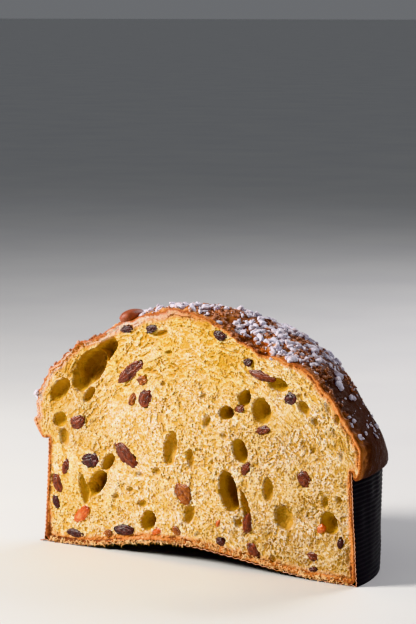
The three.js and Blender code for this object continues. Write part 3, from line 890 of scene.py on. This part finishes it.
def loaf_body(crumb, crust):
    """The crust's shell closed by the cut face, which is a fine mesh pushed in to its depth."""
    shell, faces, outline, share, relief, torn = loaf_shell()
    border = shell[outline][:, [0, 2]]
    lattice, distance = cut_lattice(border)
    corners = [Vector(p) for p in np.concatenate([border, lattice])]
    count = len(border)
    edges = [(k, (k + 1) % count) for k in range(count)]
    result = delaunay_2d_cdt(corners, edges, [], 1, 1e-7)
    flat = np.array([tuple(v) for v in result[0]])
    source = np.array([o[0] if o else -1 for o in result[3]])
    new_id = np.empty(len(flat), int)
    is_border = (source >= 0) & (source < count)
    new_id[is_border] = [outline[k] for k in source[is_border]]
    inner = np.where(~is_border)[0]
    new_id[inner] = len(shell) + np.arange(len(inner))

    x, z = flat[inner].T
    from_edge = distance[source[inner] - count]
    deep, film, bubble = (sample(values, flat[inner]) for values in crumb_field())
    bulge = 0.35 * np.exp(-((from_edge - 1.0) / 0.8) ** 2)
    y = deep * smoothstep(from_edge, 0.3, 2.6) - bulge
    points = np.concatenate([shell, np.stack([x, y, z], 1)])
    tri = new_id[np.array(result[2])]
    a, b, c = (points[tri[:, k]] for k in range(3))
    normal_y = (b[:, 2] - a[:, 2]) * (c[:, 0] - a[:, 0]) - (b[:, 0] - a[:, 0]) * (c[:, 2] - a[:, 2])
    tri[normal_y > 0] = tri[normal_y > 0][:, ::-1]
    piece = new_object("loaf_body", points, faces + tri.tolist(), [crumb, crust])
    piece.data.polygons.foreach_set("material_index", [1] * len(faces) + [0] * len(tri))

    cut_values = {"edge": from_edge / rim_width(x, z), "deep": y, "film": film, "bubble": bubble}
    cut_values.update(cut_tints(x, z, from_edge))
    for name, values in cut_values.items():
        add_values(piece, name, np.concatenate([np.zeros(len(shell)), values]))
    high = relief - relief[share == 1].mean()
    crust_values = {"torn": torn * share, "high": high * share, "dark": baked_tone_and_painted_shade(shell, share)}
    for name, values in crust_values.items():
        add_values(piece, name, np.concatenate([values, np.zeros(len(x))]))
    return piece


def rim_width(x, z):
    """How far in from its edge the cut face is browned, in millimetres."""
    top = smoothstep(z, 108, 122) * (1 - smoothstep(x, -8, 12))
    left = smoothstep(-x, 60, 80) * smoothstep(z, 60, 70)
    right = smoothstep(x, 40, 70) * smoothstep(z, 60, 66)
    base = 1 - smoothstep(z, 14, 22)
    wall = (smoothstep(x, 80, 92) + 0.5 * smoothstep(-x, 80, 92)) * (1 - smoothstep(z, 56, 62)) * (1 - base)
    return 1.3 + 2.6 * top + 1.4 * left + 2.0 * right + 2.3 * base + 1.1 * wall


def baked_tone_and_painted_shade(points, share):
    """How dark the crust is coloured: amber at the cut edge and on top, dark low on the dome. It is partly
    the crust's baked tone and partly painted shade, darker towards the right and the back.
    """
    x, y, z = points.T
    from_cut = smoothstep(y + 4 * noise(points, 9, 91) + 2 * noise(points, 3, 92), 2, 9)
    low = smoothstep(PEAK_HEIGHT - z, 8, 50)
    right = smoothstep(x, -30, 40)
    back = smoothstep(y, 30, 70)
    # Painted shade in part: the crust is darkened low on the dome towards the right and back, and further
    # on the right.
    shade = 0.42 + 0.40 * low * np.maximum(right, back) + 0.12 * right
    shade = mix(0.10 + 0.14 * right, shade, from_cut)
    return mix(0.1, shade, smoothstep(share, 0.4, 1.0))


def points_inside(points, polygon):
    inside = np.zeros(len(points), bool)
    x, z = points.T
    for (x1, z1), (x2, z2) in zip(polygon, np.roll(polygon, -1, 0)):
        crosses = (z1 > z) != (z2 > z)
        if crosses.any():
            at = x1 + (z[crosses] - z1) * (x2 - x1) / (z2 - z1)
            inside[crosses] ^= x[crosses] < at
    return inside


def unit_sphere(detail):
    ball = bmesh.new()
    bmesh.ops.create_icosphere(ball, subdivisions=detail, radius=1)
    points = np.array([v.co for v in ball.verts])
    faces = [[v.index for v in f.verts] for f in ball.faces]
    ball.free()
    return points, faces


SPHERES = {detail: unit_sphere(detail) for detail in (2, 3, 5)}


def wrinkled_fruit(name, material, wrinkle, seed):
    fruit = FRUITS[name]
    sphere, faces = SPHERES[5]
    offset = np.array([7.3, 1.9, 4.1]) * (seed + 1)
    twisted = sphere * np.array([0.7, 1.7, 1.7]) + 0.35 * noise(sphere + offset, 0.7, seed)[:, None]
    folds = ridges(twisted + offset, 0.8, seed, 3)
    lobes = noise(sphere * 0.9 + offset, 0.8, seed + 5)
    swell = 1.0 + 0.20 * lobes - wrinkle * folds ** 1.4 + 0.45 * wrinkle
    shape = sphere * swell[:, None]
    flatness = np.where(shape[:, 1] < 0, np.abs(shape[:, 1]) ** 0.7, np.abs(shape[:, 1]))
    flush = 0.8 - 1.3 * flatness + 2.6 * wrinkle * (folds - 0.5)
    y = np.where(shape[:, 1] < 0, flush, 0.8 + flatness * (fruit["back"] - 0.8))
    along = (shape[:, 0] * fruit["a"] * 1.05)[:, None]
    across = (shape[:, 2] * fruit["b"] * 1.08)[:, None]
    x, z = (fruit["centre"] + along * fruit["along"] + across * fruit["across"]).T
    points = np.stack([x, y, z], 1)
    piece = new_object(f"{name}_piece", points, faces, [material])
    add_values(piece, "fold", folds)
    return finish_piece(piece, "raisin_skin" if name.startswith("raisin") else "candied_peel", name)


def surface_samples(piece, count, rng, weight):
    """Random points with normals on the crust faces, in millimetres, favoured by weight."""
    mesh = piece.data
    mesh.calc_loop_triangles()
    tri = np.empty(len(mesh.loop_triangles) * 3, int)
    mesh.loop_triangles.foreach_get("vertices", tri)
    index = np.empty(len(mesh.loop_triangles), int)
    mesh.loop_triangles.foreach_get("material_index", index)
    tri = tri.reshape(-1, 3)[index == 1]
    co = np.empty(len(mesh.vertices) * 3)
    mesh.vertices.foreach_get("co", co)
    co = from_frame(co.reshape(-1, 3))
    a, b, c = (co[tri[:, k]] for k in range(3))
    cross = np.cross(b - a, c - a)
    area = np.linalg.norm(cross, axis=1) / 2
    middle = (a + b + c) / 3
    chance = area * weight(middle)
    chosen = rng.choice(len(tri), count, p=chance / chance.sum())
    u, v = rng.random((2, count))
    flip = u + v > 1
    u[flip], v[flip] = 1 - u[flip], 1 - v[flip]
    spots = a[chosen] + u[:, None] * (b - a)[chosen] + v[:, None] * (c - a)[chosen]
    normals = cross[chosen] / (2 * area[chosen][:, None])
    return spots, normals


def sugar_weight(points):
    """Sugar lies thick on the crown and thins out down the dome; none under the rim."""
    x, y, z = points.T
    r = np.hypot(x, y)
    crown = 1 - smoothstep(r, 52, 88)
    patches = smoothstep(noise(points, 13, 71) + 0.5 * noise(points, 5, 72), -0.35, 0.35)
    on_top = smoothstep(z, 70, 86)
    left = 1 - 0.95 * smoothstep(-x, 25, 70) * (1 - smoothstep(y, 4, 30))
    beside_cut = smoothstep(y, 0.5, 5)
    left_edge = smoothstep(-x, 84, 92) * smoothstep(z, 70, 76) * (1 - smoothstep(y, 8, 16))
    summit = 1 - 0.7 * smoothstep(z, 130, 138) * (1 - smoothstep(x, -20, 5))
    return (0.05 + crown * patches) * on_top * left * beside_cut * summit + 0.06 * left_edge


def spaced(spots, sizes, clearance):
    kept = []
    cell = 4.0
    table = {}
    for k, (spot, size) in enumerate(zip(spots, sizes)):
        key = tuple((spot // cell).astype(int))
        free = True
        for step in itertools.product((-1, 0, 1), repeat=3):
            for other in table.get(tuple(np.add(key, step)), ()):
                if np.linalg.norm(spots[other] - spot) < (sizes[other] + size) * clearance:
                    free = False
        if free:
            kept.append(k)
            table.setdefault(key, []).append(k)
    return kept


def basis(normal, turn):
    helper = np.array([1.0, 0, 0]) if abs(normal[0]) < 0.8 else np.array([0, 1.0, 0])
    first = np.cross(normal, helper)
    first /= np.linalg.norm(first)
    second = np.cross(normal, first)
    c, s = math.cos(turn), math.sin(turn)
    return np.stack([c * first + s * second, -s * first + c * second, normal])


def grain_mesh(spots, normals, sizes, rng, detail, long_share, boxy=0.65, longest=0.9):
    sphere, faces = SPHERES[detail]
    points, all_faces = [], []
    for spot, normal, size in zip(spots, normals, sizes):
        stretch = 1 + (longest * rng.random() if rng.random() < long_share else 0.25 * rng.random())
        halves = size * np.array([stretch, 0.95 / stretch ** 0.3, 0.8 / stretch ** 0.3])
        skew = np.eye(3) + rng.uniform(-0.3, 0.3, (3, 3))
        lumpy = 1 + 0.25 * noise(sphere * 1.2 + rng.random(3) * 90, 0.8, 3)
        block = np.sign(sphere) * np.abs(sphere) ** boxy
        shape = block @ skew * lumpy[:, None] * halves
        turned = shape @ basis(normal, rng.random() * 2 * math.pi)
        base = len(points) * len(sphere)
        points.append(turned + spot + normal * size * 0.3)
        all_faces.extend([[base + k for k in face] for face in faces])
    return np.concatenate(points), all_faces


def scattered(name, loaf, material, slot, rng, count, low, high, detail, weight, clearance=None):
    spots, normals = surface_samples(loaf, count, rng, weight)
    sizes = np.sort(low + (high - low) * rng.random(count) ** 1.5)[::-1]
    if clearance:
        kept = spaced(spots, sizes, clearance)
        spots, normals, sizes = spots[kept], normals[kept], sizes[kept]
    points, faces = grain_mesh(spots, normals, sizes, rng, detail, 0.35)
    return finish_piece(new_object(name, points, faces, [material]), slot)


def pearl_sugar(loaf, sugar, brown):
    rng = np.random.default_rng(SEED + 2)
    scattered("pearl_sugar", loaf, sugar, "bread", rng, 820, 0.75, 1.95, 3, sugar_weight, 0.68)
    scattered("sugar_crumbs", loaf, sugar, "bread", rng, 1400, 0.3, 0.7, 2, sugar_weight)
    scattered("crust_crumbs", loaf, brown, "bread", rng, 1900, 0.35, 1.1, 2, crumble_weight)


def crumble_weight(points):
    x, y, z = points.T
    crown = smoothstep(z, 84, 112)
    beside_cut = (1 - smoothstep(y, 8, 16)) * smoothstep(z, 66, 80)
    scraps = crown * smoothstep(noise(points, 11, 75), -0.3, 0.3)
    return scraps + 0.3 * beside_cut * smoothstep(x, -10, 20) * (1 - smoothstep(x, 70, 90))


def crumb_bits(material):
    """Loose crumbs that cling to the lower edge of the cut."""
    rng = np.random.default_rng(SEED + 3)
    count = 900
    x = rng.uniform(-99, 97, count)
    z = arch_height(np.abs(x)) + 0.9 + np.abs(rng.normal(0, 1.3, count))
    spots = np.stack([x, rng.normal(-0.1, 0.25, count), z], 1)
    normals = np.tile([0.0, -1.0, 0.0], (count, 1))
    sizes = 0.16 + 0.34 * rng.random(count) ** 2
    points, faces = grain_mesh(spots, normals, sizes, rng, 2, 1.0, 0.9, 3.5)
    finish_piece(new_object("crumb_bits", points, faces, [material]), "bread")


def almond_piece(material):
    points = node_points("almond")
    centre = (points.max(0) + points.min(0)) / 2
    axes = np.linalg.eigh(np.cov((points - points.mean(0)).T))[1][:, ::-1].T
    if np.linalg.det(axes) < 0:
        axes[2] = -axes[2]
    local = (points - centre) @ axes.T
    low, high = local.min(0), local.max(0)
    sphere, faces = SPHERES[5]
    end_widths = [np.abs(local[:, 1][local[:, 0] * end > 0]).max() for end in (1, -1)]
    wide_end = 1 if end_widths[0] > end_widths[1] else -1
    taper = 1 + 0.26 * wide_end * sphere[:, 0] - 0.10 * sphere[:, 0] ** 2
    furrow = 0.035 * ridges(sphere * np.array([0.5, 4, 4]), 1.0, 9, 2)
    shape = sphere * np.stack([np.ones(len(sphere)), taper, taper], 1) * (1.0 - furrow)[:, None]
    shape = (shape - shape.min(0)) / (shape.max(0) - shape.min(0)) * (high - low) + low
    centre[2] -= 0.8
    return finish_piece(new_object("almond_piece", shape @ axes + centre, faces, [material]),
                        "almond_skin", "almond")


RIB_PITCH = 2.35
RIB_DEPTH = 0.34
PAPER = 0.45
WAVE_PITCH = 4.4
WAVE_HEIGHT = 0.42


CASE_TURNS = np.linspace(0, math.pi, 321)


def case_wall(paper, edge):
    """Ribbed wall, one closed skin with its cut edge in bare paper."""
    heights = np.linspace(0.6, CASE_HEIGHT, int((CASE_HEIGHT - 0.6) / RIB_PITCH * 8) + 1)
    rib = RIB_DEPTH * (np.cos(2 * math.pi * heights / RIB_PITCH) * 0.5 - 0.5)
    wall = []
    for theta in CASE_TURNS:
        flutter = 0.25 * noise(np.stack([np.full_like(heights, theta * 14), heights / 12], 1), 1.0, 81)
        radius = case_radius(theta, heights) + rib + flutter
        outer, inner = (place_flat(theta, r, heights) for r in (radius, radius - PAPER))
        wall.append(np.concatenate([outer, inner[::-1]]))
    finish_piece(closed_strip("case_wall", np.array(wall), [paper, edge]), "case_paper", "paper_case")


def case_base(paper, edge):
    """Corrugated base that is drawn up in the middle, closed and edged as the wall is."""
    base = []
    radii = np.linspace(0, 1, 90)
    for theta in CASE_TURNS:
        r = radii * (case_radius(theta, 0) - 0.2)
        lower = place(theta, r, arch_height(r))
        x, y = lower[:, 0].copy(), lower[:, 1]
        wave = WAVE_HEIGHT * triangle_wave(x / WAVE_PITCH) * mix(0.35, 1.0, np.exp(-y / 6.0))
        lower[:, 0] -= 3.2 * smoothstep(-x, 92, 102) * np.exp(-y / 5.0)
        lower[:, 2] += np.maximum(wave + WAVE_HEIGHT, 0.02) * (r < 101)
        upper = lower + np.array([0, 0, PAPER])
        base.append(np.concatenate([lower, upper[::-1]]))
    finish_piece(closed_strip("case_base", np.array(base), [paper, edge]), "case_paper")


def triangle_wave(value):
    part = value - np.floor(value)
    return 1 - 4 * np.abs(part - 0.5)


def place_flat(theta, r, z):
    return np.stack([r * math.cos(theta), r * math.sin(theta), z], 1)


def closed_strip(name, rings, materials):
    """Joins rings of points into one closed skin. The two end rings are filled as ladders."""
    count, size, _ = rings.shape
    faces, index = [], []
    for i in range(count - 1):
        for j in range(size):
            k = (j + 1) % size
            faces.append([i * size + j, (i + 1) * size + j, (i + 1) * size + k, i * size + k])
            index.append(0)
    for ring, flip in ((0, False), (count - 1, True)):
        for j in range(size // 2 - 1):
            near, far = ring * size + j, ring * size + size - 1 - j
            face = [near, near + 1, far - 1, far]
            faces.append(face[::-1] if flip else face)
            index.append(1)
    points = rings.reshape(-1, 3)
    piece = new_object(name, points, faces, materials)
    piece.data.polygons.foreach_set("material_index", index)
    return piece


def studio():
    floor_size = 60000
    corners = [(x * floor_size, y * floor_size, 0) for x, y in ((-1, -1), (1, -1), (1, 1), (-1, 1))]
    floor = new_object("studio_floor", corners, [[0, 1, 2, 3]], [floor_material()])
    world = bpy.data.worlds.new("studio")
    bpy.context.scene.world = world
    world.use_nodes = True
    sky = world.node_tree.nodes["Background"].inputs
    sky["Color"].default_value = (0.92, 0.95, 1.0, 1)
    sky["Strength"].default_value = 0.2
    lamp("key", (-620, -580, 570), 340, 16.5, (1.0, 0.95, 0.88))
    lamp("fill", (1500, -1100, 600), 900, 2.5, (0.92, 0.96, 1.0))
    lamp("back", (200, 1200, 1100), 700, 14, (1.0, 0.97, 1.0))


def lamp(name, where, size, power, colour):
    data = bpy.data.lights.new(name, "AREA")
    data.size = size * MM
    data.energy = power
    data.color = colour
    light = bpy.data.objects.new(name, data)
    bpy.context.scene.collection.objects.link(light)
    light.location = to_frame([where])[0]
    aim = Vector(to_frame([(0, 30, 60)])[0]) - light.location
    light.rotation_euler = aim.to_track_quat("-Z", "Y").to_euler()


CAMERA_PLACE = (720.3, -1082.2, 300.6)
CAMERA_TURN = 33.315
CAMERA_PITCH = 7.115
CAMERA_LENS = 140.06
SENSOR = 36.0


def camera():
    data = bpy.data.cameras.new("camera")
    data.sensor_fit = "VERTICAL"
    data.sensor_height = SENSOR
    data.lens = CAMERA_LENS
    data.clip_start = 0.05
    eye = bpy.data.objects.new("camera", data)
    bpy.context.scene.collection.objects.link(eye)
    eye.location = to_frame([CAMERA_PLACE])[0]
    eye.rotation_euler = (math.radians(90 - CAMERA_PITCH), 0, math.radians(CAMERA_TURN))
    bpy.context.scene.camera = eye


crumb, crust, sugar = crumb_material(), crust_material(), sugar_material()
loaf = finish_piece(loaf_body(crumb, crust), "bread", "loaf")
pearl_sugar(loaf, sugar, crust_crumb_material())
crumb_bits(crumb_bit_material())

RAISIN_KINDS = {
    "dark": raisin_material("raisin_dark", (0.020, 0.0045, 0.006), (0.085, 0.019, 0.016), 0.24),
    "red": raisin_material("raisin_red", (0.050, 0.008, 0.005), (0.20, 0.040, 0.014), 0.22),
    "amber": raisin_material("raisin_amber", (0.13, 0.026, 0.006), (0.36, 0.105, 0.018), 0.18),
}
AMBER_RAISINS = (3, 4, 18, 19, 20)
DARK_RAISINS = (7, 12, 15, 16, 17, 23, 26, 27, 28, 29, 30, 31)
peel = peel_material()
for number, name in enumerate(FRUITS):
    if name.startswith("peel"):
        wrinkled_fruit(name, peel, 0.10, number)
    else:
        raisin = int(name[-2:])
        kind = "amber" if raisin in AMBER_RAISINS else "dark" if raisin in DARK_RAISINS else "red"
        wrinkled_fruit(name, RAISIN_KINDS[kind], 0.12, number)
almond_piece(almond_material())
paper, paper_edge = paper_material(), paper_edge_material()
case_wall(paper, paper_edge)
case_base(paper, paper_edge)
studio()
camera()
bpy.context.scene.view_settings.view_transform = "Khronos PBR Neutral"
bpy.context.scene.view_settings.exposure = 0.0
